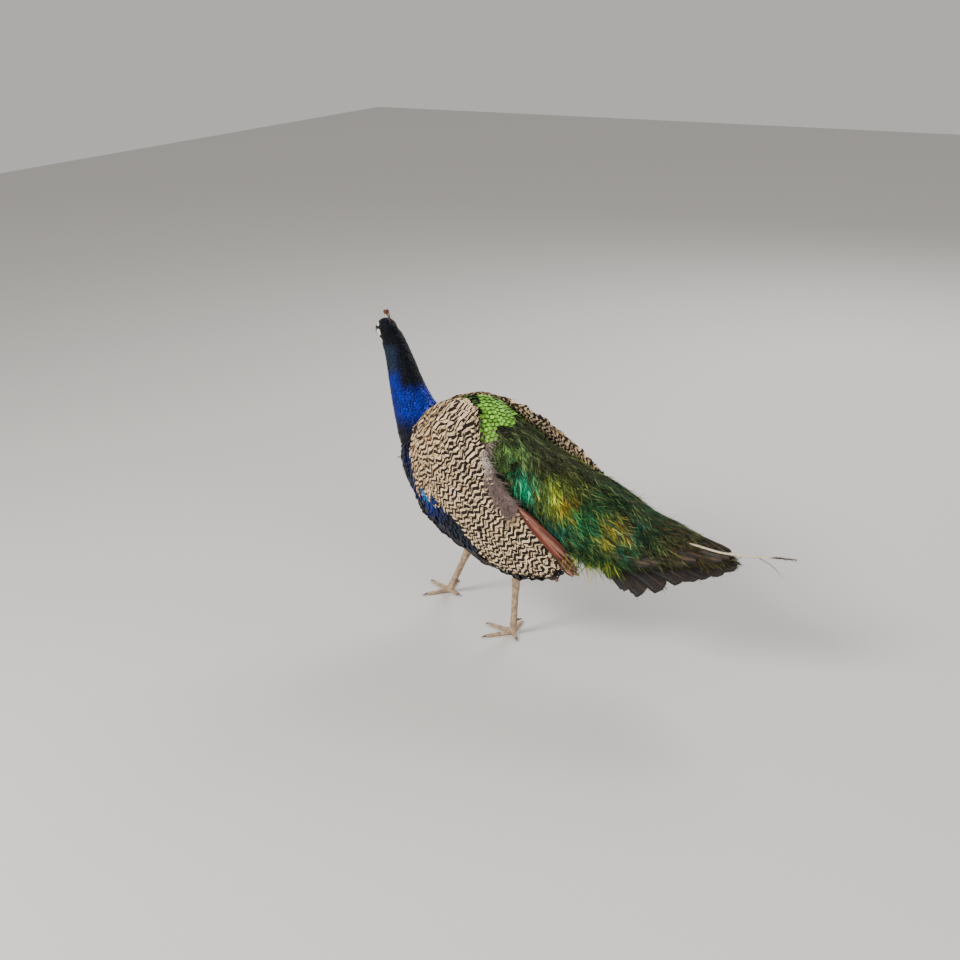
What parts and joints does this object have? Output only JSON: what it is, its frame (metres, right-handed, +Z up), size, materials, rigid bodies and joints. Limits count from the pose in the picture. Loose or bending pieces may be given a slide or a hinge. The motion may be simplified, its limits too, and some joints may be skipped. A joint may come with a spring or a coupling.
{
  "type": "peacock",
  "caption": "Life-size standing peacock in mid stride, head turned aside, wings folded, short moulted train and a bare plume shaft behind.",
  "frame": {"origin": "on the ground under the middle of the whole bird's bounding box", "axes": "+Z up, the bird faces -Y, its left side is +X, the train runs back towards +Y"},
  "size_m": [0.263, 1.1612, 0.7271],
  "materials": {
    "blue_feather": "iridescent blue body feathers",
    "dark_feather": "dark feathers with a faint gloss",
    "barred_feather": "matt cream and brown barred feathers",
    "scale_feather": "lime green scale feathers, satin",
    "green_feather": "bronze green train feathers, satin",
    "chestnut_feather": "matt chestnut flight feathers",
    "brown_feather": "matt dark brown tail feathers",
    "buff_feather": "soft buff thigh feathers",
    "crest_feather": "coppery crest feathers",
    "leg_skin": "pale tan scaled skin",
    "bill_horn": "grey brown horn, satin",
    "claw_horn": "dark horn",
    "quill": "bare cream feather shaft",
    "eyeball": "wet dark eye"
  },
  "bodies": {
    "root": {"head": "dark_feather", "bill_upper": "bill_horn", "bill_lower": "bill_horn", "eye_left": "eyeball", "eye_right": "eyeball", "crest": "crest_feather", "neck_upper": "blue_feather", "neck_lower": "blue_feather", "breast": "blue_feather", "trunk": "dark_feather", "rump": "green_feather", "wing_left": "barred_feather", "wing_right": "barred_feather", "cape": "scale_feather", "train": "green_feather", "hind_edge_left": "dark_feather", "flight_left": "chestnut_feather", "hind_edge_right": "dark_feather", "flight_right": "chestnut_feather", "tail": "brown_feather", "plume_shaft": "quill", "shank_left": "leg_skin", "thigh_left": "buff_feather", "spur_left": "claw_horn", "toe_left_inner": "leg_skin", "claw_left_inner": "claw_horn", "toe_left_middle": "leg_skin", "claw_left_middle": "claw_horn", "toe_left_outer": "leg_skin", "claw_left_outer": "claw_horn", "toe_left_back": "leg_skin", "claw_left_back": "claw_horn", "shank_right": "leg_skin", "thigh_right": "buff_feather", "spur_right": "claw_horn", "toe_right_inner": "leg_skin", "claw_right_inner": "claw_horn", "toe_right_middle": "leg_skin", "claw_right_middle": "claw_horn", "toe_right_outer": "leg_skin", "claw_right_outer": "claw_horn", "toe_right_back": "leg_skin", "claw_right_back": "claw_horn"}
  },
  "joints": []
}
